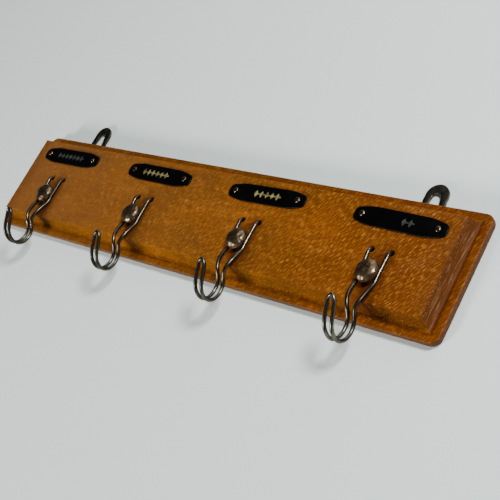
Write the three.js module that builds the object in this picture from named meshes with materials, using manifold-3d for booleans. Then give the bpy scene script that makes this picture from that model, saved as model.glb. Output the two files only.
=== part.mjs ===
// Wall hook rack: a moulded beech board that carries four double-wire hooks, each held by a
// domed nail, four pinned label plates above them, and two steel hangers let into its back.
// Millimetres. +X runs along the board, +Y points into the wall and +Z points up.
// The origin is the centre of the board's back face.

import * as THREE from "three";
import { mergeVertices } from "three/addons/utils/BufferGeometryUtils.js";
import Module from "manifold-3d";

const wasm = await Module();
wasm.setup();

// ---------------------------------------------------------------- driving dimensions

const GAP = 0.3; // clearance between neighbouring pieces

const BOARD_LENGTH = 400;
const BOARD_HEIGHT = 80;
const BOARD_THICKNESS = 15;
const BOARD_CORNER_RADIUS = 6;

const RIM_WIDTH = 5; // the low flat border round the moulding
const RIM_THICKNESS = 4.5;
const RIM_EDGE_ROUND = 0.8;
const COVE_WIDTH = 4; // from the rim to the edge of the raised field
const COVE_STEP = 0.5; // the small step at the cove's foot
const COVE_LEDGE = 0.5; // the narrow ledge at the cove's head
const FIELD_WALL = 2.9; // the upright wall between the ledge and the face
const FIELD_EDGE_ROUND = 0.6;

const STATION_COUNT = 4; // a station is a hook, its nail and the label plate above it
const STATION_SPACING = 100;

const WIRE_RADIUS = 1.2;
const WIRE_SIDES = 8;
const WIRE_STEPS = 66;
const WIRE_HOLE_RADIUS = 2;
const WIRE_HOLE_DEPTH = 10;
const WIRE_HOLE_SPREAD = 6.8; // from the hook's middle to each hole
const WIRE_HOLE_HEIGHT = 0.4;
const WIRE_TAIL_DEPTH = 8.5; // how far each wire end reaches into the board

const NAIL_HEAD_RADIUS = 7.2;
const NAIL_HEAD_RISE = 4.6;
const NAIL_HEAD_LIP = 0.5;
const NAIL_HEAD_STANDOFF = 3.6; // from the board's face to the underside of the head
const NAIL_HEAD_HOLLOW = 1.6;
const NAIL_SHANK_RADIUS = 1.5;
const NAIL_SHANK_DEPTH = 9;
const NAIL_HEIGHT = -14.4;

const PLATE_LENGTH = 63;
const PLATE_WIDTH = 12.4;
const PLATE_THICKNESS = 0.8;
const PLATE_STRAIGHT = 41; // length of the parallel middle part
const PLATE_NOSE_RADIUS = 4.6;
const PLATE_HEIGHT = 19.8;
const PIN_SPACING = 51.4;
const PIN_HEAD_RADIUS = 1.9;
const PIN_HEAD_RISE = 1.1;
const PIN_SHANK_RADIUS = 0.7;
const PIN_SHANK_DEPTH = 6;

const HANGER_LENGTH = 40;
const HANGER_WIDTH = 15;
const HANGER_THICKNESS = 1.6;
const EYE_TOP_RADIUS = 3;
const EYE_BOTTOM_RADIUS = 4.4;
const EYE_TOP_DROP = 8.5; // from the hanger's top to the centre of the eye's upper arc
const EYE_BOTTOM_DROP = 14.4;
const HANGER_NAIL_DROPS = [27.5, 34.5];
const HANGER_NAIL_RADIUS = 1;
const HANGER_NAIL_HEAD_RADIUS = 2.2;
const HANGER_NAIL_HEAD_HEIGHT = 1.1;
const HANGER_NAIL_DEPTH = 9;

// Each hook is bent by hand: it leans sideways with its drop, swings sideways with its reach,
// and kicks towards the wall with its drop, all by a few hundredths. The lift raises a hook
// and its nail. Each plate is shifted along the board and tilted by a degree or so.
const STATIONS = [
  { lean: 0.009, swing: -0.07, kick: 0.016, lift: 0, plateShift: 1.6, plateTilt: 0.6 },
  { lean: 0.041, swing: 0.02, kick: 0.007, lift: 0.15, plateShift: 1.6, plateTilt: -0.3 },
  { lean: 0.049, swing: 0.01, kick: -0.01, lift: 0.6, plateShift: 2.2, plateTilt: 1.3 },
  { lean: 0.052, swing: -0.06, kick: -0.008, lift: 0.1, plateShift: 2.6, plateTilt: -0.8 },
];

const HANGERS = [
  { side: "left", x: -148.8, top: 57.2 },
  { side: "right", x: 157.5, top: 54.3 },
];

// One wire of the hook from its hole down to the tip: half spread, reach in front of the
// board's face, and height. The other wire mirrors it, and they join in a round tip.
const WIRE_PATH = [
  [6.75, 1.35, -0.6],
  [6.6, 1.85, -4],
  [6.3, 1.8, -9],
  [5.9, 1.8, -14.5],
  [5.8, 1.8, -20],
  [5.5, 3.5, -25],
  [4.85, 4.9, -30],
  [3.7, 5.1, -34.1],
  [2.7, 3.9, -37.6],
  [2.3, 1.4, -40.5],
  [2.3, -0.8, -44],
  [2.4, -1.5, -48],
  [2.45, -0.4, -52.7],
  [2.4, 2.3, -56.1],
  [2.35, 6.3, -57.7],
  [2.4, 10.5, -57.1],
  [2.5, 14.2, -54.9],
  [2.6, 16.7, -51.7],
  [2.6, 18.5, -47.9],
  [2.4, 20.2, -44],
  [1.8, 21.8, -40.9],
];
const WIRE_TIP = [22.6, -39.5]; // reach and height of the round tip

const FRONT = -BOARD_THICKNESS; // Y of the board's front face

// ---------------------------------------------------------------- materials

function finish(name, color, roughness, metalness) {
  return new THREE.MeshStandardMaterial({ name, color, roughness, metalness });
}

const STAINED_BEECH = finish("stained_beech", 0x9a5a1c, 0.42, 0);
const BROWNED_WIRE = finish("browned_wire", 0x4a4640, 0.38, 1);
const BRONZED_NAIL = finish("bronzed_nail", 0x5b4f43, 0.36, 1);
const BLACK_ENAMEL = finish("black_enamel", 0x0c0d10, 0.3, 0);
const DARK_BRASS = finish("dark_brass", 0x4a4131, 0.4, 1);
const BLUED_STEEL = finish("blued_steel", 0x2a2a2c, 0.5, 1);

// ---------------------------------------------------------------- solids

function toSolid(geometry) {
  const bare = geometry.index ? geometry.toNonIndexed() : geometry.clone();
  bare.deleteAttribute("normal");
  bare.deleteAttribute("uv");
  const merged = mergeVertices(bare, 1e-4);
  const vertProperties = new Float32Array(merged.attributes.position.array);
  const triVerts = new Uint32Array(merged.index.array);
  return new wasm.Manifold(new wasm.Mesh({ numProp: 3, vertProperties, triVerts }));
}

function toGeometry(solid) {
  const mesh = solid.getMesh();
  const geometry = new THREE.BufferGeometry();
  geometry.setAttribute("position", new THREE.BufferAttribute(mesh.vertProperties, 3));
  geometry.setIndex(new THREE.BufferAttribute(mesh.triVerts, 1));
  geometry.computeVertexNormals();
  return geometry;
}

// Extrudes a shape. The shape's axes become `across` and `up`, and it grows along their
// cross product by `depth`, from `start`.
function prism(shape, across, up, depth, start, bevel = 0) {
  const options = { depth: depth - 2 * bevel, bevelEnabled: bevel > 0, curveSegments: 6 };
  if (bevel > 0) {
    options.bevelThickness = bevel;
    options.bevelSize = bevel;
    options.bevelOffset = -bevel;
    options.bevelSegments = 1;
  }
  const along = new THREE.Vector3().crossVectors(across, up);
  const basis = new THREE.Matrix4().makeBasis(across, up, along);
  const origin = start.clone().addScaledVector(along, bevel);
  return new THREE.ExtrudeGeometry(shape, options).applyMatrix4(basis.setPosition(origin));
}

const X = new THREE.Vector3(1, 0, 0);
const Z = new THREE.Vector3(0, 0, 1);
const OUT = new THREE.Vector3(0, -1, 0); // away from the wall

// Turns a profile of [radius, height] points about an axis along Y. Heights run towards the
// wall from the axis's own start, which is moved to (x, y, z) afterwards.
function turned(profile, segments) {
  const points = profile.map(([radius, height]) => new THREE.Vector2(radius, height));
  return new THREE.LatheGeometry(points, segments);
}

// A bore of the given depth from the surface at y, running towards +Y or -Y (inward).
function bore(radius, depth, x, y, z, inward) {
  const reach = depth + 1;
  const middle = y + (inward * (depth - 1)) / 2;
  return toSolid(new THREE.CylinderGeometry(radius, radius, reach, 12).translate(x, middle, z));
}

function stadium(width, length, grow) {
  const radius = width / 2 + grow;
  const straight = length / 2 - width / 2;
  const shape = new THREE.Shape();
  shape.absarc(0, straight, radius, 0, Math.PI);
  shape.absarc(0, -straight, radius, Math.PI, 2 * Math.PI);
  shape.closePath();
  return shape;
}

// ---------------------------------------------------------------- board

function roundedRectangle(width, height, radius) {
  const x = width / 2 - radius;
  const y = height / 2 - radius;
  const shape = new THREE.Shape();
  shape.absarc(x, y, radius, 0, Math.PI / 2);
  shape.absarc(-x, y, radius, Math.PI / 2, Math.PI);
  shape.absarc(-x, -y, radius, Math.PI, 1.5 * Math.PI);
  shape.absarc(x, -y, radius, 1.5 * Math.PI, 2 * Math.PI);
  shape.closePath();
  return shape;
}

// Cross-section of the raised part of the board: cove, ledge, wall and rounded face edge.
function raisedSection(boardSize) {
  const rim = boardSize / 2 - RIM_WIDTH;
  const field = rim - COVE_WIDTH;
  const coveTop = BOARD_THICKNESS - FIELD_WALL;
  const coveFoot = RIM_THICKNESS + COVE_STEP;
  const side = new THREE.Path();
  side.moveTo(rim, RIM_THICKNESS - 1);
  side.lineTo(rim, coveFoot);
  side.absellipse(
    rim, coveTop, COVE_WIDTH - COVE_LEDGE, coveTop - coveFoot, -Math.PI / 2, -Math.PI, true,
  );
  side.lineTo(field, coveTop);
  side.absarc(
    field - FIELD_EDGE_ROUND, BOARD_THICKNESS - FIELD_EDGE_ROUND, FIELD_EDGE_ROUND,
    0, Math.PI / 2,
  );
  const right = side.getPoints(5);
  const left = right.map((point) => new THREE.Vector2(-point.x, point.y)).reverse();
  return new THREE.Shape([...right, ...left]);
}

function boardGeometry() {
  const slab = prism(
    roundedRectangle(BOARD_LENGTH, BOARD_HEIGHT, BOARD_CORNER_RADIUS),
    X, Z, RIM_THICKNESS, new THREE.Vector3(0, 0, 0), RIM_EDGE_ROUND,
  );
  const long = prism(
    raisedSection(BOARD_HEIGHT), Z, OUT, BOARD_LENGTH, new THREE.Vector3(-BOARD_LENGTH / 2, 0, 0),
  );
  const end = prism(
    raisedSection(BOARD_LENGTH), X, OUT, BOARD_HEIGHT, new THREE.Vector3(0, 0, BOARD_HEIGHT / 2),
  );
  let solid = toSolid(slab).add(toSolid(long).intersect(toSolid(end)));
  for (const cut of boardCuts()) {
    solid = solid.subtract(cut);
  }
  return toGeometry(solid);
}

function boardCuts() {
  const cuts = [];
  STATIONS.forEach((station, index) => {
    const x = stationX(index);
    for (const side of [-1, 1]) {
      const holeX = x + side * WIRE_HOLE_SPREAD;
      const holeZ = WIRE_HOLE_HEIGHT + station.lift;
      cuts.push(bore(WIRE_HOLE_RADIUS, WIRE_HOLE_DEPTH, holeX, FRONT, holeZ, 1));
      const pin = pinPlace(station, x, side);
      cuts.push(bore(PIN_SHANK_RADIUS + GAP, PIN_SHANK_DEPTH + GAP, pin.x, FRONT, pin.z, 1));
    }
    const nailBore = NAIL_SHANK_RADIUS + GAP;
    const nailZ = NAIL_HEIGHT + station.lift;
    cuts.push(bore(nailBore, NAIL_SHANK_DEPTH + GAP, x, FRONT, nailZ, 1));
  });
  for (const hanger of HANGERS) {
    const middle = new THREE.Vector3(hanger.x, 1, hanger.top - HANGER_LENGTH / 2);
    const pocketDepth = HANGER_THICKNESS + GAP + 1;
    const outline = stadium(HANGER_WIDTH, HANGER_LENGTH, GAP + 0.1);
    cuts.push(toSolid(prism(outline, X, Z, pocketDepth, middle)));
    for (const drop of HANGER_NAIL_DROPS) {
      const nailBore = HANGER_NAIL_RADIUS + GAP;
      cuts.push(bore(nailBore, HANGER_NAIL_DEPTH + GAP, hanger.x, 0, hanger.top - drop, -1));
    }
  }
  return cuts;
}

// ---------------------------------------------------------------- hooks

function hookPoint(station, x, side, [spread, reach, height]) {
  const drop = WIRE_HOLE_HEIGHT - height;
  const lean = station.lean * drop + station.swing * reach;
  const kick = station.kick * drop;
  return new THREE.Vector3(x + side * spread + lean, FRONT - reach + kick, height + station.lift);
}

// One hairpin wire: up out of one hole, round the tip and back into the other hole.
function hookGeometry(station, x) {
  const tail = [
    [WIRE_HOLE_SPREAD, -WIRE_TAIL_DEPTH, WIRE_HOLE_HEIGHT],
    [WIRE_HOLE_SPREAD, -WIRE_TAIL_DEPTH / 2, WIRE_HOLE_HEIGHT],
    [WIRE_HOLE_SPREAD, -1, WIRE_HOLE_HEIGHT],
  ];
  const wire = [...tail, ...WIRE_PATH];
  const left = wire.map((point) => hookPoint(station, x, -1, point));
  const right = wire.map((point) => hookPoint(station, x, 1, point)).reverse();
  const tip = hookPoint(station, x, 0, [0, ...WIRE_TIP]);
  const extrudePath = new THREE.CatmullRomCurve3([...left, tip, ...right], false, "centripetal");
  const section = new THREE.Shape();
  section.absarc(0, 0, WIRE_RADIUS, 0, 2 * Math.PI);
  const curveSegments = WIRE_SIDES / 2;
  return new THREE.ExtrudeGeometry(section, { steps: WIRE_STEPS, curveSegments, extrudePath });
}

// ---------------------------------------------------------------- nails and pins

// Profile of a domed head over a straight shank that ends in a point. The head's underside
// is at height 0 and the shank runs up the axis towards +height.
function domedProfile(head, rise, lip, hollow, shank, length, arcSteps) {
  const points = [];
  for (let step = 0; step <= arcSteps; step += 1) {
    const angle = (Math.PI / 2) * (1 - step / arcSteps);
    points.push([head * Math.cos(angle), -lip - (rise - lip) * Math.sin(angle)]);
  }
  points[0][0] = 0;
  points.push([head, 0]);
  if (hollow > 0) {
    points.push([head - 1.2, 0], [shank + 1.2, -hollow]);
  }
  points.push([shank, -hollow], [shank, length - 2 * shank], [0, length]);
  return points;
}

function hookNailGeometry(station, x) {
  const length = NAIL_HEAD_STANDOFF + NAIL_SHANK_DEPTH;
  const profile = domedProfile(
    NAIL_HEAD_RADIUS, NAIL_HEAD_RISE, NAIL_HEAD_LIP, NAIL_HEAD_HOLLOW, NAIL_SHANK_RADIUS, length, 5,
  );
  const z = NAIL_HEIGHT + station.lift;
  return turned(profile, 16).translate(x, FRONT - NAIL_HEAD_STANDOFF, z);
}

function pinPlace(station, x, side) {
  const tilt = THREE.MathUtils.degToRad(station.plateTilt);
  const half = (side * PIN_SPACING) / 2;
  return {
    x: x + station.plateShift + half * Math.cos(tilt),
    z: PLATE_HEIGHT + half * Math.sin(tilt),
  };
}

function platePinGeometry(station, x, side) {
  const standoff = 2 * GAP + PLATE_THICKNESS;
  const length = standoff + PIN_SHANK_DEPTH;
  const profile = domedProfile(PIN_HEAD_RADIUS, PIN_HEAD_RISE, 0.2, 0, PIN_SHANK_RADIUS, length, 3);
  const place = pinPlace(station, x, side);
  return turned(profile, 8).translate(place.x, FRONT - standoff, place.z);
}

// ---------------------------------------------------------------- label plates

// A long plate with parallel sides that taper to a rounded nose at each end.
function plateOutline() {
  const half = PLATE_WIDTH / 2;
  const noseX = PLATE_LENGTH / 2 - PLATE_NOSE_RADIUS;
  const noseAngle = THREE.MathUtils.degToRad(72);
  const shape = new THREE.Shape();
  shape.moveTo(-PLATE_STRAIGHT / 2, -half);
  shape.lineTo(PLATE_STRAIGHT / 2, -half);
  shape.absarc(noseX, 0, PLATE_NOSE_RADIUS, -noseAngle, noseAngle);
  shape.lineTo(PLATE_STRAIGHT / 2, half);
  shape.lineTo(-PLATE_STRAIGHT / 2, half);
  shape.absarc(-noseX, 0, PLATE_NOSE_RADIUS, Math.PI - noseAngle, Math.PI + noseAngle);
  shape.closePath();
  for (const side of [-1, 1]) {
    const hole = new THREE.Path();
    hole.absarc((side * PIN_SPACING) / 2, 0, PIN_SHANK_RADIUS + GAP, 0, 2 * Math.PI);
    shape.holes.push(hole);
  }
  return shape;
}

function labelPlateMesh(name, station, x) {
  const origin = new THREE.Vector3(0, 0, 0);
  const geometry = prism(plateOutline(), X, Z, PLATE_THICKNESS, origin, 0.15);
  const mesh = new THREE.Mesh(geometry, BLACK_ENAMEL);
  mesh.name = name;
  mesh.position.set(x + station.plateShift, FRONT - GAP, PLATE_HEIGHT);
  mesh.rotation.y = -THREE.MathUtils.degToRad(station.plateTilt);
  return mesh;
}

// ---------------------------------------------------------------- hangers

// The pear-shaped eye: a small arc above a larger one, joined by their common tangents.
function eyeOutline() {
  const top = HANGER_LENGTH / 2 - EYE_TOP_DROP;
  const bottom = HANGER_LENGTH / 2 - EYE_BOTTOM_DROP;
  const slope = Math.asin((EYE_BOTTOM_RADIUS - EYE_TOP_RADIUS) / (top - bottom));
  const hole = new THREE.Path();
  hole.absarc(0, top, EYE_TOP_RADIUS, slope, Math.PI - slope);
  hole.absarc(0, bottom, EYE_BOTTOM_RADIUS, Math.PI - slope, 2 * Math.PI + slope);
  hole.closePath();
  return hole;
}

function hangerGeometry(hanger) {
  const outline = stadium(HANGER_WIDTH, HANGER_LENGTH, 0);
  outline.holes.push(eyeOutline());
  const middle = new THREE.Vector3(hanger.x, 0, hanger.top - HANGER_LENGTH / 2);
  let solid = toSolid(prism(outline, X, Z, HANGER_THICKNESS, middle, 0.2));
  for (const drop of HANGER_NAIL_DROPS) {
    const z = hanger.top - drop;
    solid = solid.subtract(bore(HANGER_NAIL_RADIUS + GAP, 4, hanger.x, 0.5, z, -1));
    const sink = new THREE.CylinderGeometry(
      HANGER_NAIL_HEAD_RADIUS + GAP + 0.2, HANGER_NAIL_RADIUS + GAP,
      HANGER_NAIL_HEAD_HEIGHT + GAP, 12,
    );
    const depth = (HANGER_NAIL_HEAD_HEIGHT + GAP) / 2;
    solid = solid.subtract(toSolid(sink.translate(hanger.x, 0.02 - depth, z)));
  }
  return toGeometry(solid);
}

function hangerNailGeometry(hanger, drop) {
  const profile = [
    [0, 0],
    [HANGER_NAIL_HEAD_RADIUS, 0],
    [HANGER_NAIL_RADIUS, HANGER_NAIL_HEAD_HEIGHT],
    [HANGER_NAIL_RADIUS, HANGER_NAIL_DEPTH - 2],
    [0, HANGER_NAIL_DEPTH],
  ];
  return turned(profile, 12).rotateX(Math.PI).translate(hanger.x, -0.1, hanger.top - drop);
}

// ---------------------------------------------------------------- assembly

function stationX(index) {
  return (index - (STATION_COUNT - 1) / 2) * STATION_SPACING;
}

const rack = new THREE.Group();

function addPiece(name, geometry, material) {
  const mesh = new THREE.Mesh(geometry, material);
  mesh.name = name;
  rack.add(mesh);
}

addPiece("board", boardGeometry(), STAINED_BEECH);

STATIONS.forEach((station, index) => {
  const x = stationX(index);
  const number = index + 1;
  addPiece(`hook_${number}`, hookGeometry(station, x), BROWNED_WIRE);
  addPiece(`hook_nail_${number}`, hookNailGeometry(station, x), BRONZED_NAIL);
  rack.add(labelPlateMesh(`label_plate_${number}`, station, x));
  addPiece(`plate_pin_${number}_left`, platePinGeometry(station, x, -1), DARK_BRASS);
  addPiece(`plate_pin_${number}_right`, platePinGeometry(station, x, 1), DARK_BRASS);
});

for (const hanger of HANGERS) {
  addPiece(`hanger_${hanger.side}`, hangerGeometry(hanger), BLUED_STEEL);
  const [upper, lower] = HANGER_NAIL_DROPS;
  addPiece(`hanger_nail_${hanger.side}_upper`, hangerNailGeometry(hanger, upper), BLUED_STEEL);
  addPiece(`hanger_nail_${hanger.side}_lower`, hangerNailGeometry(hanger, lower), BLUED_STEEL);
}

export default rack;
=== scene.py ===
"""Wall hook rack: a moulded beech board with wire hooks, domed nails, enamelled plates and hangers."""

import math

import bmesh
import bpy
from mathutils import Euler, Matrix, Vector


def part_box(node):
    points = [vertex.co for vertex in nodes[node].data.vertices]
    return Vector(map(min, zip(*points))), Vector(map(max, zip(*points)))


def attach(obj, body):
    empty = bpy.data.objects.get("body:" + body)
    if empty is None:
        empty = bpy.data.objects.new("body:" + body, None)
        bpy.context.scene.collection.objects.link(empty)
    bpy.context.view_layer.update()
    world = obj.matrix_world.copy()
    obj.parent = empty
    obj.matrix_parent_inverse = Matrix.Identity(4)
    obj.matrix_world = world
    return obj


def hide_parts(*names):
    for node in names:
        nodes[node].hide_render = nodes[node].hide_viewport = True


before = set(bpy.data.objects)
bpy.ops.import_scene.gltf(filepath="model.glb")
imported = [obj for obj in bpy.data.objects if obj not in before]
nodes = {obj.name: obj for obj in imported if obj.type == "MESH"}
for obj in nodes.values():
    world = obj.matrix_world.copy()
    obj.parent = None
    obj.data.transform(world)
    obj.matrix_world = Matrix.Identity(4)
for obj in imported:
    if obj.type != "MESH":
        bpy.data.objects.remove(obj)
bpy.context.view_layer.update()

# ---------------------------------------------------------------- sizes, in millimetres

BOARD = (400, 15, 80)
FRONT = -BOARD[1]
RIM_WIDTH = 5
RIM_THICKNESS = 4.5
CORNER_RADIUS = 6
QUIRK = 0.5  # the step at the foot of the cove
COVE_WIDTH = 3.5
COVE_STEPS = 12
WALL_TOP_INSET = 0.5  # how far the wall leans in from the cove's head to the face
WALL_DEPTH = 2.9
RIM_ROUNDING = 1.1
BACK_ROUNDING = 0.4
FACE_ROUNDING = 0.45
COVE_HEAD_ROUNDING = 0.25
POOLED_STAIN_HEIGHT = 0.6  # how far up the ends' cove the stain has pooled
GAP = 0.3  # between pieces that touch on the real rack

STATION_SPACING = 100
WIRE_RADIUS = 1.2
WIRE_HOLE_RADIUS = 2
WIRE_HOLE_DEPTH = 10
WIRE_HOLE_SPREAD = 6.8
WIRE_HOLE_HEIGHT = 0.4

NAIL_HEIGHT = -14.4
NAIL_STANDOFF = 3.6
NAIL_BORE_RADIUS = 1.8
NAIL_BORE_DEPTH = 9.3
# A head's radius, its rise from the underside with its lip, its shank's radius and its hollow.
NAIL_HEAD = {"radius": 7.2, "rise": 4.6, "lip": 0.5, "shank": 1.5, "hollow": 1.6}
NAIL_DEPTH = 9
HAMMER_MARK_SIZE = 2.2
HAMMER_MARK_DEPTH = 0.7

PLATE_HEIGHT = 19.8
PLATE_THICKNESS = 0.8
PLATE_STRAIGHT = 20.5  # half the length of the parallel middle part
PLATE_SHOULDER = 28.2
PLATE_END = 31.5
PLATE_HALF_WIDTH = 6.2
PLATE_NOSE_HALF_WIDTH = 4.5
PLATE_NOSE_TAPER = 0.9
# How far from the middle each pair of the plate's corners is, and how much they are rounded.
PLATE_CORNERS = ((PLATE_END, 2.9), (PLATE_SHOULDER, 1.5), (PLATE_STRAIGHT, 4))
PLATE_ROUNDING = 0.22
PIN_SPACING = 51.4
PIN_HEAD = {"radius": 1.9, "rise": 1.1, "lip": 0.2, "shank": 0.7, "hollow": 0}
PIN_DEPTH = 6
PIN_BORE_RADIUS = 1
PIN_BORE_DEPTH = 6.3

PAINT_THICKNESS = 0.06
PAINT_LIFT = 0.02  # keeps the paint's back just clear of the enamel
ORNAMENT_PITCH = 4.4
LOZENGE_HALF_HEIGHT = 2.5
LOZENGE_SLIMNESS = 0.6
DOT_RADIUS = 0.55

EYE_TOP_RADIUS = 3
EYE_BOTTOM_RADIUS = 4.4
EYE_TOP_DROP = 8.5  # from the hanger's top to the centre of the eye's upper arc
EYE_BOTTOM_DROP = 14.4
POCKET_GROWTH = 0.4  # how far a pocket's walls and floor stand clear of the hanger in it
HANGER_NAIL_BORE_RADIUS = 1.3
HANGER_NAIL_BORE = (0.5, 9.3)  # depths from the back face, the first inside the pocket
SINK_RADIUS = 2.7
SINK_DEPTH = 1.4
SINK_LEAD = 0.02  # how far a countersink's cutter stands out of the back
HANGER_ROUNDING = 0.3

# For each station: how the hook leans, swings and kicks, as in the model, how far hook and
# nail are raised, and how the plate is shifted and tilted.
STATIONS = (
    {"lean": 0.009, "swing": -0.07, "kick": 0.016, "lift": 0, "shift": 1.6, "tilt": 0.6},
    {"lean": 0.041, "swing": 0.02, "kick": 0.007, "lift": 0.15, "shift": 1.6, "tilt": -0.3},
    {"lean": 0.049, "swing": 0.01, "kick": -0.01, "lift": 0.6, "shift": 2.2, "tilt": 1.3},
    {"lean": 0.052, "swing": -0.06, "kick": -0.008, "lift": 0.1, "shift": 2.6, "tilt": -0.8},
)

# Half spread, reach in front of the board and height of one wire, from its hole to its tip.
WIRE_PATH = (
    (6.8, -8.5, 0.4), (6.8, -4.2, 0.4), (6.8, -1.0, 0.4),
    (6.75, 1.35, -0.6), (6.6, 1.85, -4), (6.3, 1.8, -9), (5.9, 1.8, -14.5),
    (5.8, 1.8, -20), (5.5, 3.5, -25), (4.85, 4.9, -30), (3.7, 5.1, -34.1),
    (2.7, 3.9, -37.6), (2.3, 1.4, -40.5), (2.3, -0.8, -44), (2.4, -1.5, -48),
    (2.45, -0.4, -52.7), (2.4, 2.3, -56.1), (2.35, 6.3, -57.7), (2.4, 10.5, -57.1),
    (2.5, 14.2, -54.9), (2.6, 16.7, -51.7), (2.6, 18.5, -47.9), (2.4, 20.2, -44),
    (1.8, 21.8, -40.9),
)
WIRE_TIP = (0, 22.6, -39.5)

# Painted shadow behind each hook, from its station: an oval that leans like the wires.
SHADOW_PAINT_SHIFT = 2.5
SHADOW_PAINT_HEIGHT = -19
SHADOW_PAINT_LEAN = 8
SHADOW_PAINT_HALF_WIDTH = 8.5
SHADOW_PAINT_HALF_HEIGHT = 25
SHADOW_PAINT_AMOUNT = 0.75

BACKDROP_GAP = 1.5
BACKDROP_SIZE = 3000


def mm(*values):
    """Millimetres to metres: a number for one value, a vector for three."""
    return Vector(values) / 1000 if len(values) > 1 else values[0] / 1000


def station_x(index):
    """How far along the board a hook stands. The four stations are spread about its middle."""
    return (index - 1.5) * STATION_SPACING


# ---------------------------------------------------------------- camera and lamps

CAMERA_PLACE = (465.4, -434.2, -176.0)
CAMERA_AZIMUTH = 43.96
CAMERA_ELEVATION = -15.22
CAMERA_ROLL = 28.2
LENS = 71.9


def make_camera():
    azimuth, elevation, roll = map(math.radians, (CAMERA_AZIMUTH, CAMERA_ELEVATION, CAMERA_ROLL))
    back = Vector((
        math.sin(azimuth) * math.cos(elevation),
        -math.cos(azimuth) * math.cos(elevation),
        math.sin(elevation),
    ))
    level = Vector((math.cos(azimuth), math.sin(azimuth), 0))
    right = level * math.cos(roll) + back.cross(level) * math.sin(roll)
    turn = Matrix((right, back.cross(right), back)).transposed()
    data = bpy.data.cameras.new("camera")
    data.lens = LENS
    data.clip_start = 0.01
    camera = bpy.data.objects.new("camera", data)
    camera.matrix_world = Matrix.Translation(mm(*CAMERA_PLACE)) @ turn.to_4x4()
    bpy.context.collection.objects.link(camera)
    bpy.context.scene.camera = camera


def make_lamp(name, side, distance, size, power, colour=(1, 1, 1)):
    """A square lamp that shines on the rack from the given side. Lengths in metres."""
    data = bpy.data.lights.new(name, "AREA")
    data.size = size
    data.energy = power
    data.color = colour
    lamp = bpy.data.objects.new(name, data)
    away = Vector(side).normalized()
    lamp.location = away * distance
    lamp.rotation_euler = away.to_track_quat("Z", "Y").to_euler()
    bpy.context.collection.objects.link(lamp)


# ---------------------------------------------------------------- shader nodes


def srgb(code):
    """A colour written as #rrggbb, in the linear values that shaders use."""
    parts = [int(code[i:i + 2], 16) / 255 for i in (1, 3, 5)]
    return tuple(
        part / 12.92 if part <= 0.04045 else ((part + 0.055) / 1.055) ** 2.4 for part in parts
    ) + (1,)


def add(owner, kind, inputs=None, **settings):
    """Adds a node to a material or world. Inputs are values, or the sockets that feed them."""
    tree = owner.node_tree
    node = tree.nodes.new(kind)
    for key, value in settings.items():
        setattr(node, key, value)
    for key, value in (inputs or {}).items():
        if isinstance(value, bpy.types.NodeSocket):
            tree.links.new(value, node.inputs[key])
        else:
            node.inputs[key].default_value = value
    return node


def link(owner, source, target):
    owner.node_tree.links.new(source, target)


def new_material(name):
    material = bpy.data.materials.new(name)
    material.use_nodes = True
    return material, material.node_tree.nodes["Principled BSDF"]


def noise(material, scale, rotation=(0, 0, 0), detail=3, roughness=0.5):
    """Noise with so many cycles per millimetre along each axis, turned by so many degrees."""
    source = add(material, "ShaderNodeTexCoord").outputs["Object"]
    turned = add(material, "ShaderNodeMapping", {
        "Vector": source, "Rotation": [math.radians(a) for a in rotation],
    }, vector_type="TEXTURE").outputs["Vector"]
    scaled = add(material, "ShaderNodeMapping", {
        "Vector": turned, "Scale": [1000 * s for s in scale],
    }).outputs["Vector"]
    return add(material, "ShaderNodeTexNoise", {
        "Vector": scaled, "Scale": 1, "Detail": detail, "Roughness": roughness,
    }).outputs["Fac"]


def ramp(owner, factor, low, high, start=0, end=1):
    """Maps factor from low..high to start..end, clamped."""
    return add(owner, "ShaderNodeMapRange", {
        "Value": factor, "From Min": low, "From Max": high, "To Min": start, "To Max": end,
    }).outputs["Result"]


def combine(material, operation, one, *other):
    """One Math node, on one or two values."""
    inputs = dict(enumerate((one, *other)))
    return add(material, "ShaderNodeMath", inputs, operation=operation).outputs[0]


def mix(material, factor, one, other):
    """One colour, covered by the other as far as the factor says."""
    return add(material, "ShaderNodeMix", {0: factor, 6: one, 7: other}, data_type="RGBA").outputs[2]


def bump(material, height, distance):
    """Distance is the height of the relief in millimetres."""
    return add(material, "ShaderNodeBump", {
        "Height": height, "Distance": distance / 1000, "Strength": 0.6,
    }).outputs["Normal"]


# ---------------------------------------------------------------- finishes

BLEACHED_STAIN = "#724a25"
RIPE_STAIN = "#5a2a00"
# The colour of the painted shadow behind each hook.
SHADOW_PAINT = "#3c1400"


def hook_painted_shade(material, place):
    """The share of painted shadow on the wood: most behind each hook's wires, and none outside an oval."""
    along = combine(material, "ADD", place.outputs["X"], mm(2 * STATION_SPACING))
    within = combine(material, "FLOORED_MODULO", along, mm(STATION_SPACING))
    spot = add(material, "ShaderNodeCombineXYZ", {"X": within, "Z": place.outputs["Z"]}).outputs[0]
    middle = mm(STATION_SPACING / 2 + SHADOW_PAINT_SHIFT, 0, SHADOW_PAINT_HEIGHT)
    away = add(
        material, "ShaderNodeVectorMath", {0: spot, 1: middle}, operation="SUBTRACT",
    ).outputs[0]
    oval = add(material, "ShaderNodeMapping", {
        "Vector": away, "Rotation": (0, math.radians(SHADOW_PAINT_LEAN), 0),
        "Scale": (1000 / SHADOW_PAINT_HALF_WIDTH, 1, 1000 / SHADOW_PAINT_HALF_HEIGHT),
    }).outputs[0]
    reach = add(material, "ShaderNodeVectorMath", {0: oval}, operation="LENGTH").outputs["Value"]
    return ramp(material, reach, 0.35, 1.15, SHADOW_PAINT_AMOUNT, 0)


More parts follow.
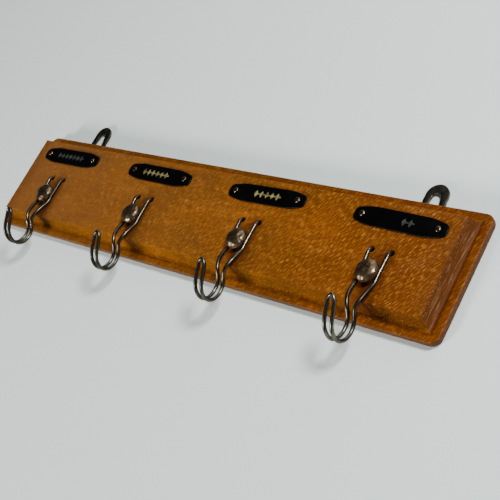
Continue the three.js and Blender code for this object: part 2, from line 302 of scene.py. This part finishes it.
def beech(
    name, light, dark, fleck, fleck_amount=0.8, rough=0.46, streak=(1.6, 1, 0.27), lean=33, shine=0.2,
    painted_shade=False, fade=0.5, end_darkening=0.4,
):
    """
    Stained, varnished beech. Streak is how many ray flecks fit in a millimetre along each axis
    and lean is their angle from upright. Fade is how far the stain has bleached at the left end,
    and the last argument how far both ends are darker.
    """
    material, shader = new_material(name)
    half, quarter = mm(BOARD[0] / 2), mm(BOARD[0] / 4)
    place = add(material, "ShaderNodeSeparateXYZ", {
        "Vector": add(material, "ShaderNodeTexCoord").outputs["Object"],
    })
    # The stain took unevenly, in patches 20 to 30 mm across.
    patches = noise(material, (0.03, 0.03, 0.05), detail=4, roughness=0.6)
    colour = mix(material, ramp(material, patches, 0.32, 0.70), srgb(dark), srgb(light))
    # Dark pores run 12 mm along the board, 1.2 mm apart, which is coarser than real ones.
    pores = noise(material, (0.08, 1.5, 0.8), detail=4, roughness=0.7)
    colour = mix(material, ramp(material, pores, 0.34, 0.58, 0.85, 0), colour, srgb(dark))
    # Towards the right end the varnish has ripened to a redder brown.
    ripened = ramp(material, place.outputs["X"], mm(BOARD[0] / 6), mm(BOARD[0] * 0.42), 0, 0.95)
    colour = mix(material, ripened, colour, srgb(RIPE_STAIN))
    # Pale ray flecks with dark gaps between them, stronger in some clusters than in others.
    rays = noise(material, streak, rotation=(0, lean, 0), detail=5, roughness=0.6)
    clusters = noise(material, (0.07, 0.07, 0.12), detail=3, roughness=0.6)
    strong = ramp(material, clusters, 0.35, 0.6, 0.6, 1)
    flecks = combine(material, "MULTIPLY", ramp(material, rays, 0.52, 0.64, 0, fleck_amount), strong)
    colour = mix(material, flecks, colour, srgb(fleck))
    colour = mix(material, ramp(material, rays, 0.48, 0.38, 0, 0.75), colour, srgb(dark))
    # Towards the left end the stain has bleached.
    faded = ramp(material, place.outputs["X"], -half, quarter, fade, 0)
    colour = mix(material, faded, colour, srgb(BLEACHED_STAIN))
    # The last 22 mm of both ends are darker.
    from_middle = combine(material, "ABSOLUTE", place.outputs["X"])
    darkened = ramp(material, from_middle, half - mm(22), half - mm(7), 0, end_darkening)
    colour = mix(material, darkened, colour, srgb(dark))
    # Painted shadow behind each hook's wires and nail.
    if painted_shade:
        colour = mix(material, hook_painted_shade(material, place), colour, srgb(SHADOW_PAINT))
    link(material, colour, shader.inputs["Base Color"])
    # The varnish is worn in patches 11 to 17 mm across.
    wear = noise(material, (0.06, 0.06, 0.09), detail=5, roughness=0.65)
    link(material, ramp(material, wear, 0.3, 0.7, rough - 0.08, rough + 0.14), shader.inputs["Roughness"])
    relief = combine(material, "ADD", pores, flecks)
    link(material, bump(material, relief, 0.08), shader.inputs["Normal"])
    shader.inputs["Specular IOR Level"].default_value = shine
    return material


def metal(name, light, dark, rough, scale, relief, metallic=1.0):
    """Worn metal or paint: darker over a lighter ground, in patches of the given size (mm)."""
    material, shader = new_material(name)
    patches = noise(material, (1 / scale,) * 3, detail=5, roughness=0.65)
    colour = mix(material, ramp(material, patches, 0.35, 0.65), srgb(dark), srgb(light))
    link(material, colour, shader.inputs["Base Color"])
    shader.inputs["Metallic"].default_value = metallic
    link(material, ramp(material, patches, 0.3, 0.7, rough + 0.12, rough - 0.06), shader.inputs["Roughness"])
    pits = noise(material, (3 / scale,) * 3, detail=4, roughness=0.6)
    link(material, bump(material, pits, relief), shader.inputs["Normal"])
    return material


# Stained, varnished beech, satin and full of short slanting flecks: the raised face and the rim. The face
# carries painted shadow behind each hook.
FIELD = beech(
    "varnished_beech", "#7e430a", "#4e2802", "#b67a30", fleck_amount=0.66, painted_shade=True, fade=0.6,
    end_darkening=0.55,
)
RIM = beech(
    "varnished_beech_rim", "#743e06", "#4a2400", "#a0641c", fleck_amount=0.55, shine=0.12, fade=0.3,
    end_darkening=0.1,
)
# The cove and wall along the long sides, duller, with painted shadow behind each hook.
# Its stain is lighter than the face's. This is painted light that makes up for the key lamp missing the
# downward-facing lower cove.
LONG_MOULDING = beech(
    "varnished_beech_moulding", "#9c580c", "#5c3400", "#b07428", fleck_amount=0.6, rough=0.65, shine=0.06,
    painted_shade=True, fade=0.1, end_darkening=0.2,
)
# The upright wall at the ends, stained darker and more olive than the face as painted shade.
WALL = beech("shade_darkened_beech_wall", "#6e4012", "#3e2004", "#96683a", fleck_amount=0.7, rough=0.6, shine=0.1)
# The ends' cove, end grain that has taken the stain brown and is scratched lengthways.
COVE = beech(
    "end_grain_cove", "#7c4c24", "#462810", "#ac8862", fleck_amount=0.6, rough=0.6,
    streak=(1.1, 1.1, 0.06), lean=3, shine=0.1,
)
# The foot of the ends' cove, where red-brown stain has run together.
FOOT = beech("pooled_stain_beech", "#5a2404", "#300e00", "#7a3a10", fleck_amount=0.4, shine=0.1)
# The sawn edge, greyed with handling and stained darker as painted shade, and the bare back.
EDGE = beech("greyed_beech_edge_with_painted_shade", "#6c4c28", "#38240e", "#8a6a42", fleck_amount=0.4, rough=0.62)
BACK = beech(
    "bare_beech_back", "#8e6a40", "#5a3e20", "#b08c5c", fleck_amount=0.6, rough=0.7, streak=(0.04, 1, 0.9),
    lean=0, shine=0.1,
)
# Browned steel wire, rubbed bright in places.
WIRE = metal("browned_steel_wire", "#625d52", "#2a2722", 0.28, 22, 0.004)
# Hammered nail heads in dark bronzed steel.
NAIL = metal("hammered_bronzed_steel", "#8c785e", "#3a2c1e", 0.32, 4, 0.04)
# Black stove enamel on thin steel, almost without gloss.
ENAMEL = metal("black_enamel", "#010102", "#000000", 0.34, 14, 0.01, metallic=0.0)
ENAMEL.node_tree.nodes["Principled BSDF"].inputs["Specular IOR Level"].default_value = 0.15
# Gilt paint, nearly worn away in places.
GILT = metal("worn_gilt_paint", "#8f8350", "#20200f", 0.5, 2.2, 0.01, metallic=0.0)
FAINT_GILT = metal("faded_gilt_paint", "#3a3c34", "#0c0d0e", 0.5, 2.2, 0.01, metallic=0.0)
# Darkened brass pins.
BRASS = metal("darkened_brass", "#8c8064", "#1c1812", 0.24, 1.2, 0.03)
# Blued steel, dulled by handling.
BLUED = metal("blued_steel", "#686256", "#201c18", 0.4, 6, 0.03)

# ---------------------------------------------------------------- modelling helpers


def leave_edit_mode():
    if bpy.context.mode != "OBJECT":
        bpy.ops.object.mode_set(mode="OBJECT")


def select_only(*objects):
    """Selects these objects and nothing else. The first becomes the active one."""
    leave_edit_mode()
    bpy.ops.object.select_all(action="DESELECT")
    for obj in objects:
        obj.select_set(True)
    bpy.context.view_layer.objects.active = objects[0]


def start(name, operator, place, scale=(1, 1, 1), rotation=(0, 0, 0), **options):
    """Adds a primitive at its place and size (mm) and applies its transform."""
    leave_edit_mode()
    bpy.ops.object.select_all(action="DESELECT")
    turn = [math.radians(a) for a in rotation]
    operator(location=mm(*place), rotation=turn, scale=scale, **options)
    made = bpy.context.object
    bpy.ops.object.transform_apply(location=True, rotation=True, scale=True)
    made.name = made.data.name = name
    return made


def block(name, low, high):
    """A block between two corners, in millimetres."""
    low, high = Vector(low), Vector(high)
    return start(
        name, bpy.ops.mesh.primitive_cube_add, (low + high) / 2,
        scale=tuple((high - low) / 1000), size=1,
    )


def rod(name, place, radius, depth, sides=24):
    """A rod along Y centred on its place, in millimetres."""
    return start(
        name, bpy.ops.mesh.primitive_cylinder_add, place, rotation=(90, 0, 0),
        radius=mm(radius), depth=mm(depth), vertices=sides,
    )


def pick(obj, kind, test):
    """In edit mode, selects the faces, edges or vertices that pass the test."""
    bpy.context.view_layer.objects.active = obj
    if bpy.context.mode != "EDIT_MESH":
        bpy.ops.object.mode_set(mode="EDIT")
    bpy.ops.mesh.select_mode(type={"faces": "FACE", "edges": "EDGE", "verts": "VERT"}[kind])
    bpy.ops.mesh.select_all(action="DESELECT")
    mesh = bmesh.from_edit_mesh(obj.data)
    for item in getattr(mesh, kind):
        if test(item):
            item.select_set(True)
    mesh.select_flush_mode()
    bmesh.update_edit_mesh(obj.data)


def pick_all(obj):
    pick(obj, "verts", lambda v: True)


def near(value, target):
    """True if a length in metres is within a hundredth of a millimetre of a target in millimetres."""
    return abs(value * 1000 - target) < 0.01


def both_at(edge, axis, target):
    """True if both ends of an edge are at the target along an axis."""
    return all(near(vertex.co[axis], target) for vertex in edge.verts)


def bevel(obj, width, segments, test):
    """Rounds the edges that pass the test."""
    pick(obj, "edges", test)
    bpy.ops.mesh.bevel(offset=mm(width), segments=segments, affect="EDGES")


def shrink(factors, centre):
    """Scales the selection along X, Y and Z about a centre in millimetres."""
    bpy.ops.transform.resize(value=factors, center_override=mm(*centre))


def extrude(x=0, y=0):
    """Extrudes the selection by so many millimetres."""
    bpy.ops.mesh.extrude_region_move(TRANSFORM_OT_translate={"value": (mm(x), mm(y), 0)})


def apply(obj, kind, **settings):
    """Adds a modifier with its settings and applies it."""
    select_only(obj)
    modifier = obj.modifiers.new(kind.lower(), kind)
    for key, value in settings.items():
        setattr(modifier, key, value)
    bpy.ops.object.modifier_apply(modifier=modifier.name)


def carve(obj, tool, operation="DIFFERENCE"):
    """Cuts the tool out of the object, or joins it on, and deletes the tool."""
    apply(obj, "BOOLEAN", object=tool, operation=operation, solver="EXACT")
    bpy.data.objects.remove(tool, do_unlink=True)


def join(objects, name):
    select_only(*objects)
    bpy.ops.object.join()
    objects[0].name = objects[0].data.name = name
    return objects[0]


def finish_piece(obj, material, slot, *replaced):
    """Shades the piece, gives it its material and puts it on the body in place of CAD nodes."""
    select_only(obj)
    bpy.ops.object.shade_smooth_by_angle(angle=math.radians(35))
    if material:
        obj.data.materials.clear()
        obj.data.materials.append(material)
    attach(obj, "root")
    if replaced:
        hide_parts(*replaced)


# ---------------------------------------------------------------- hangers' places


def node_box(name):
    """A CAD node's lowest and highest corners, in millimetres."""
    return [Vector(corner) * 1000 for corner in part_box(name)]


def hanger_nail_centres(side):
    return [sum(node_box(f"hanger_nail_{side}_{level}"), Vector()) / 2 for level in ("upper", "lower")]


def stadium(name, low, high, sides=48):
    """A flat bar with round ends standing along Z, between two corners in millimetres."""
    radius = (high.x - low.x) / 2
    centre = (low + high) / 2
    top = high.z - radius
    made = rod(name, (centre.x, centre.y, top), radius, high.y - low.y, sides)
    pick(made, "verts", lambda v: v.co.z * 1000 < top - 0.01)
    bpy.ops.transform.translate(value=(0, 0, mm(low.z + radius - top)))
    leave_edit_mode()
    return made


# ---------------------------------------------------------------- board


def make_slab():
    slab = block("slab", (-BOARD[0] / 2, -RIM_THICKNESS, -BOARD[2] / 2), (BOARD[0] / 2, 0, BOARD[2] / 2))
    bevel(slab, CORNER_RADIUS, 9, lambda e: not both_at(e, 1, 0) and not both_at(e, 1, -RIM_THICKNESS))
    bevel(slab, RIM_ROUNDING, 4, lambda e: both_at(e, 1, -RIM_THICKNESS))
    bevel(slab, BACK_ROUNDING, 2, lambda e: both_at(e, 1, 0))
    leave_edit_mode()
    return slab


def make_raised():
    """The raised part: each inset of the front face is one step up the cove, then the wall."""
    half_x, half_z = BOARD[0] / 2 - RIM_WIDTH, BOARD[2] / 2 - RIM_WIDTH
    foot = RIM_THICKNESS + QUIRK
    head = BOARD[1] - WALL_DEPTH
    root = 2  # how far from the back the raised part starts, inside the slab
    raised = block("raised", (-half_x, -foot, -half_z), (half_x, -root, half_z))
    pick(raised, "faces", lambda f: f.normal.y < -0.5)
    for step in range(COVE_STEPS):
        low, high = (math.pi / 2 * (step + k) / COVE_STEPS for k in (0, 1))
        inward = COVE_WIDTH * (math.sin(high) - math.sin(low))
        upward = (head - foot) * (math.cos(low) - math.cos(high))
        bpy.ops.mesh.inset(thickness=mm(inward), depth=mm(upward))
    bpy.ops.mesh.inset(thickness=mm(WALL_TOP_INSET), depth=mm(WALL_DEPTH))
    bevel(raised, FACE_ROUNDING, 3, lambda e: both_at(e, 1, FRONT))
    bevel(raised, COVE_HEAD_ROUNDING, 2, lambda e: both_at(e, 1, -head))
    leave_edit_mode()
    return raised


def pin_place(station, x, side):
    """How far along the board and how high one of a plate's two pins stands."""
    tilt = math.radians(station["tilt"])
    half = side * PIN_SPACING / 2
    return x + station["shift"] + half * math.cos(tilt), PLATE_HEIGHT + half * math.sin(tilt)


def face_bore(x, z, radius, depth):
    """A cutter for a hole of this depth in the front face. It starts 1 mm in front of it."""
    return rod("bore", (x, FRONT + (depth - 1) / 2, z), radius, depth + 1)


def board_bores():
    bores = []
    for index, station in enumerate(STATIONS):
        x = station_x(index)
        for side in (-1, 1):
            hole_x = x + side * WIRE_HOLE_SPREAD
            hole_z = WIRE_HOLE_HEIGHT + station["lift"]
            bores.append(face_bore(hole_x, hole_z, WIRE_HOLE_RADIUS, WIRE_HOLE_DEPTH))
            bores.append(face_bore(*pin_place(station, x, side), PIN_BORE_RADIUS, PIN_BORE_DEPTH))
        bores.append(face_bore(x, NAIL_HEIGHT + station["lift"], NAIL_BORE_RADIUS, NAIL_BORE_DEPTH))
    return join(bores, "bores")


def back_pockets():
    """Cutters for the pockets that the hangers lie in and for the nails that hold them."""
    tools = []
    growth = Vector((POCKET_GROWTH, POCKET_GROWTH, POCKET_GROWTH))
    open_back = Vector((POCKET_GROWTH, 1, POCKET_GROWTH))
    close, far = HANGER_NAIL_BORE
    for side in ("left", "right"):
        low, high = node_box("hanger_" + side)
        tools.append(stadium("pocket", low - growth, high + open_back))
        for nail in hanger_nail_centres(side):
            middle = (nail.x, -(far + close) / 2, nail.z)
            tools.append(rod("bore", middle, HANGER_NAIL_BORE_RADIUS, far - close, sides=16))
    return tools


def board_look(face):
    """The finish of one face of the board, by its depth and its slope."""
    y = 1000 * face.center.y
    if face.normal.y > 0.9:
        return BACK
    if y > -RIM_THICKNESS - 0.1:
        return RIM if face.normal.y < -0.3 else EDGE
    if y < FRONT + 0.05:
        return FIELD
    end_zone = mm(BOARD[0] / 2 - RIM_WIDTH - COVE_WIDTH - 1)
    if abs(face.normal.z) > abs(face.normal.x) or abs(face.center.x) < end_zone:
        return LONG_MOULDING
    if y > -RIM_THICKNESS - QUIRK - POOLED_STAIN_HEIGHT:
        return FOOT
    return WALL if y < FRONT + WALL_DEPTH else COVE


def make_board():
    board = make_slab()
    carve(board, make_raised(), "UNION")
    carve(board, board_bores())
    for tool in back_pockets():
        carve(board, tool)
    board.name = board.data.name = "moulded_board"
    looks = (FIELD, LONG_MOULDING, WALL, COVE, FOOT, RIM, EDGE, BACK)
    for material in looks:
        board.data.materials.append(material)
    for face in board.data.polygons:
        face.material_index = looks.index(board_look(face))
    finish_piece(board, None, "stained_beech", "board")


# ---------------------------------------------------------------- hooks


def make_hook(index, station):
    """One wire bent as a hairpin, from one hole down to the tip and back up to the other hole."""
    x = station_x(index)
    name = f"wire_hook_{index + 1}"

    def point(side, spread, reach, height):
        drop = WIRE_HOLE_HEIGHT - height
        lean = station["lean"] * drop + station["swing"] * reach
        return mm(
            x + side * spread + lean, FRONT - reach + station["kick"] * drop, height + station["lift"],
        )

    left = [point(-1, *step) for step in WIRE_PATH]
    right = [point(1, *step) for step in reversed(WIRE_PATH)]
    points = left + [point(1, *WIRE_TIP)] + right
    curve = bpy.data.curves.new(name, "CURVE")
    curve.dimensions = "3D"
    curve.bevel_depth = mm(WIRE_RADIUS)
    curve.bevel_resolution = 5
    curve.resolution_u = 6
    curve.use_fill_caps = True
    spline = curve.splines.new("BEZIER")
    spline.bezier_points.add(len(points) - 1)
    for knot, place in zip(spline.bezier_points, points):
        knot.co = place
        knot.handle_left_type = knot.handle_right_type = "AUTO"
    hook = bpy.data.objects.new(name, curve)
    bpy.context.collection.objects.link(hook)
    select_only(hook)
    bpy.ops.object.convert(target="MESH")
    hook = bpy.context.object
    hook.name = hook.data.name = name
    finish_piece(hook, WIRE, "browned_wire", f"hook_{index + 1}")


# ---------------------------------------------------------------- nails and pins


def hammer(nail):
    """Covers a nail's head with shallow hammer marks."""
    marks = bpy.data.textures.new(nail.name + "_marks", "VORONOI")
    marks.noise_scale = mm(HAMMER_MARK_SIZE)
    marks.distance_metric = "DISTANCE"
    apply(
        nail, "DISPLACE", texture=marks, texture_coords="LOCAL", strength=mm(HAMMER_MARK_DEPTH),
        mid_level=0.5,
    )


def domed_nail(name, place, length, head, hammered=False, segments=48):
    """A domed head whose underside is at the place, over a shank that runs towards the wall."""
    radius, lip, shank, hollow = (head[key] for key in ("radius", "lip", "shank", "hollow"))
    nail = start(
        name, bpy.ops.mesh.primitive_uv_sphere_add, place, scale=(1, 1, (head["rise"] - lip) / radius),
        rotation=(90, 0, 0), segments=segments, ring_count=segments // 2, radius=mm(radius),
    )
    pick_all(nail)
    bpy.ops.mesh.bisect(plane_co=mm(*place), plane_no=(0, 1, 0), clear_outer=True)
    leave_edit_mode()
    if hammered:
        hammer(nail)
    pick(nail, "edges", lambda e: e.is_boundary)
    shrink((1, 0, 1), place)
    inner = 0.84  # the radius of the hollow's mouth, as a share of the head's
    flare = 1.5  # how much thicker the shank is where it meets the head
    steps = (
        (lip, 1), (0, inner), (-hollow, shank * flare / (inner * radius)), (0, 1 / flare),
        (length + hollow - 2 * shank, 1), (2 * shank, 0.05),
    )
    for forward, factor in steps:
        extrude(y=forward)
        shrink((factor, 1, factor), place)
    bpy.ops.mesh.merge(type="CENTER")
    pick_all(nail)
    bpy.ops.mesh.normals_make_consistent(inside=False)
    bpy.ops.transform.translate(value=(0, -mm(lip), 0))
    leave_edit_mode()
    return nail


def make_hook_nail(index, station):
    place = (station_x(index), FRONT - NAIL_STANDOFF, NAIL_HEIGHT + station["lift"])
    nail = domed_nail(
        f"domed_nail_{index + 1}", place, NAIL_STANDOFF + NAIL_DEPTH, NAIL_HEAD, hammered=True,
    )
    finish_piece(nail, NAIL, "bronzed_nail", f"hook_nail_{index + 1}")


def make_plate_pins(index, station):
    standoff = 2 * GAP + PLATE_THICKNESS
    for side, word in ((-1, "left"), (1, "right")):
        x, z = pin_place(station, station_x(index), side)
        pin = domed_nail(
            f"brass_pin_{index + 1}_{word}", (x, FRONT - standoff, z), standoff + PIN_DEPTH, PIN_HEAD,
            segments=24,
        )
        finish_piece(pin, BRASS, "dark_brass", f"plate_pin_{index + 1}_{word}")


# ---------------------------------------------------------------- label plates


def make_plate(index, station):
    """A long plate that tapers to a rounded nose at each end. Gives its place for the ornament."""
    centre = Vector((station_x(index) + station["shift"], FRONT - GAP - PLATE_THICKNESS / 2, PLATE_HEIGHT))
    half = Vector((PLATE_STRAIGHT, PLATE_THICKNESS / 2, PLATE_HALF_WIDTH))
    plate = block(f"enamel_plate_{index + 1}", centre - half, centre + half)
    for side in (-1, 1):
        pick(plate, "faces", lambda f: f.normal.x * side > 0.5)
        extrude(x=side * (PLATE_SHOULDER - PLATE_STRAIGHT))
        shrink((1, 1, PLATE_NOSE_HALF_WIDTH / PLATE_HALF_WIDTH), centre)
        extrude(x=side * (PLATE_END - PLATE_SHOULDER))
        shrink((1, 1, PLATE_NOSE_TAPER), centre)
    for reach, width in PLATE_CORNERS:
        ends = centre.x + reach, centre.x - reach
        bevel(plate, width, 6, lambda e: (both_at(e, 0, ends[0]) or both_at(e, 0, ends[1]))
              and near(abs(e.verts[0].co.y - e.verts[1].co.y), PLATE_THICKNESS))
    bevel(plate, PLATE_ROUNDING, 3, lambda e: both_at(e, 1, centre.y - half.y) and len(e.link_faces) == 2
          and abs(e.link_faces[0].normal.y - e.link_faces[1].normal.y) > 0.5)
    leave_edit_mode()
    tilt = Euler((0, -math.radians(station["tilt"]), 0)).to_matrix().to_4x4()
    there = Matrix.Translation(mm(*centre))
    plate.data.transform(there @ tilt @ there.inverted())
    for side in (-1, 1):
        x, z = pin_place(station, station_x(index), side)
        carve(plate, rod("bore", (x, centre.y, z), PIN_BORE_RADIUS, depth=4, sides=16))
    finish_piece(plate, ENAMEL, "black_enamel", f"label_plate_{index + 1}")
    return there @ tilt


def make_ornament(index, place, first, last, material):
    """A painted row of lozenges and dots on a plate, from first to last along it."""
    marks = []
    depth = -PAINT_THICKNESS / 2
    for step in range(int((last - first) / ORNAMENT_PITCH)):
        x = first + ORNAMENT_PITCH * (step + 0.5)
        lozenge = rod("lozenge", (x, depth, 0), LOZENGE_HALF_HEIGHT, PAINT_THICKNESS, sides=4)
        pick_all(lozenge)
        shrink((LOZENGE_SLIMNESS, 1, 1), (x, 0, 0))
        leave_edit_mode()
        dot = rod("dot", (x + ORNAMENT_PITCH / 2, depth, 0), DOT_RADIUS, PAINT_THICKNESS, sides=12)
        marks += [lozenge, dot]
    ornament = join(marks, f"painted_ornament_{index + 1}")
    ornament.data.transform(place @ Matrix.Translation(mm(0, -PLATE_THICKNESS / 2 - PAINT_LIFT, 0)))
    finish_piece(ornament, material, "black_enamel")


# Where each plate's ornament starts and ends along it, and how much of its gilt is left.
ORNAMENTS = (
    (-16.5, 15, FAINT_GILT), (-17, 13, GILT), (-10.5, 12.5, GILT), (1, 11, FAINT_GILT),
)

# ---------------------------------------------------------------- hangers


def pear_cutter(low, high):
    """The cutter for a hanger's eye: a rod whose upper half is drawn up and in."""
    centre = (low + high) / 2
    bottom = high.z - EYE_BOTTOM_DROP
    narrowing = EYE_TOP_RADIUS / EYE_BOTTOM_RADIUS
    eye = rod("eye", (centre.x, centre.y, bottom), EYE_BOTTOM_RADIUS, depth=5, sides=40)
    pick(eye, "verts", lambda v: v.co.z * 1000 > bottom + 0.01)
    shrink((narrowing, 1, narrowing), (centre.x, centre.y, bottom))
    bpy.ops.transform.translate(value=(0, 0, mm(EYE_BOTTOM_DROP - EYE_TOP_DROP)))
    leave_edit_mode()
    return eye


def make_hanger(side):
    low, high = node_box("hanger_" + side)
    hanger = stadium(f"steel_hanger_{side}", low, high)
    carve(hanger, pear_cutter(low, high))
    for nail in hanger_nail_centres(side):
        sink = start(
            "sink", bpy.ops.mesh.primitive_cone_add, (nail.x, SINK_LEAD - SINK_DEPTH / 2, nail.z),
            rotation=(-90, 0, 0), radius1=mm(HANGER_NAIL_BORE_RADIUS), radius2=mm(SINK_RADIUS),
            depth=mm(SINK_DEPTH), vertices=24,
        )
        carve(hanger, sink)
        carve(hanger, rod("bore", (nail.x, -1, nail.z), HANGER_NAIL_BORE_RADIUS, depth=4))
    apply(
        hanger, "BEVEL", width=mm(HANGER_ROUNDING), segments=3, limit_method="ANGLE",
        angle_limit=math.radians(40),
    )
    finish_piece(hanger, BLUED, "blued_steel", f"hanger_{side}")
    for level in ("upper", "lower"):
        node = nodes[f"hanger_nail_{side}_{level}"]
        node.data.materials.clear()
        node.data.materials.append(BLUED)


# ---------------------------------------------------------------- the rack

make_camera()
make_board()
for number, station in enumerate(STATIONS):
    make_hook(number, station)
    make_hook_nail(number, station)
    plate_place = make_plate(number, station)
    make_ornament(number, plate_place, *ORNAMENTS[number])
    make_plate_pins(number, station)
for side in ("left", "right"):
    make_hanger(side)

# ---------------------------------------------------------------- stage


def make_backdrop():
    """A pale wall behind the rack. It shows from the front only, so that it hides no back view."""
    material, shader = new_material("pale_backdrop")
    shader.inputs["Base Color"].default_value = srgb("#d0d9d6")
    shader.inputs["Roughness"].default_value = 0.9
    shader.inputs["Specular IOR Level"].default_value = 0.2
    one_sided = add(material, "ShaderNodeMixShader", {
        0: add(material, "ShaderNodeNewGeometry").outputs["Backfacing"],
        1: shader.outputs["BSDF"],
        2: add(material, "ShaderNodeBsdfTransparent").outputs["BSDF"],
    }).outputs["Shader"]
    link(material, one_sided, material.node_tree.nodes["Material Output"].inputs["Surface"])
    backdrop = start(
        "backdrop", bpy.ops.mesh.primitive_plane_add, (0, BACKDROP_GAP, 0), rotation=(90, 0, 0),
        size=mm(BACKDROP_SIZE),
    )
    backdrop.data.materials.append(material)
    backdrop.visible_shadow = False


def make_world():
    """An even, pale surrounding, weak as a light and bright as the background that is seen."""
    world = bpy.data.worlds.new("studio")
    world.use_nodes = True
    background = world.node_tree.nodes["Background"]
    background.inputs["Color"].default_value = srgb("#dfe3e8")
    seen = add(world, "ShaderNodeLightPath").outputs["Is Camera Ray"]
    link(world, ramp(world, seen, 0, 1, 0.08, 0.9), background.inputs["Strength"])
    bpy.context.scene.world = world


make_backdrop()
make_lamp("key", side=(0.61, -0.72, 0.3), distance=1.3, size=0.24, power=24.5, colour=(0.96, 0.99, 1))
make_lamp("window", side=(-0.32, -0.49, -0.81), distance=1.7, size=0.42, power=34, colour=(1, 0.98, 0.95))
make_lamp("sky", side=(0.15, -0.45, 0.88), distance=1.4, size=1.0, power=8.5)
make_lamp("behind", side=(-0.25, 1, 0.6), distance=1.2, size=0.8, power=16)
make_world()
